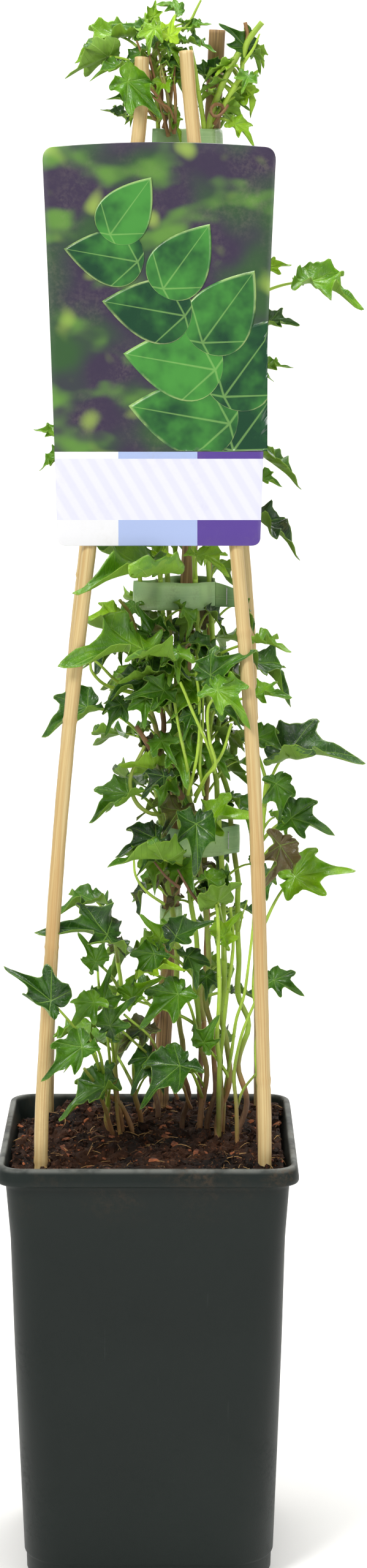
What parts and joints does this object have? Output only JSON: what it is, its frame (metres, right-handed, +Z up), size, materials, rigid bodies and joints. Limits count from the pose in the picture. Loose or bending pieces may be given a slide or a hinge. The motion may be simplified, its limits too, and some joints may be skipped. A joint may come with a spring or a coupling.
{
  "type": "potted ivalace ivy",
  "caption": "Climbing ivy with small waved five-lobed leaves, tied to a stake between leaning canes, with a picture label, in a square nursery pot.",
  "frame": {"origin": "centre of the pot's underside", "axes": "+Z up along the stake, -Y towards the side that the label faces, +X to the right of a viewer who faces the label"},
  "size_m": [0.1825, 0.1563, 0.7875],
  "materials": {
    "pot_plastic": "satin dark anthracite, injection moulded",
    "peat": "dark moist peat with bark bits",
    "bamboo": "satin pale bamboo",
    "brown_cane": "rough brown cane",
    "tie_tape": "soft green tape",
    "label_card": "semi-gloss printed card",
    "ivy": "leathery semi-gloss leaves"
  },
  "bodies": {
    "root": {"pot": "pot_plastic", "soil": "peat", "cane_front_left": "bamboo", "cane_front_right": "bamboo", "cane_back_left": "bamboo", "cane_back_right": "bamboo", "centre_stake": "brown_cane", "tie_top": "tie_tape", "tie_upper": "tie_tape", "tie_middle": "tie_tape", "tie_lower": "tie_tape", "label": "label_card", "ivy_crown_left": "ivy", "ivy_crown_right": "ivy", "ivy_right_upper": "ivy", "ivy_right": "ivy", "ivy_front": "ivy", "ivy_left_upper": "ivy", "ivy_left": "ivy", "ivy_left_low": "ivy", "ivy_short": "ivy", "ivy_back_left": "ivy", "ivy_back_right": "ivy"}
  },
  "joints": []
}
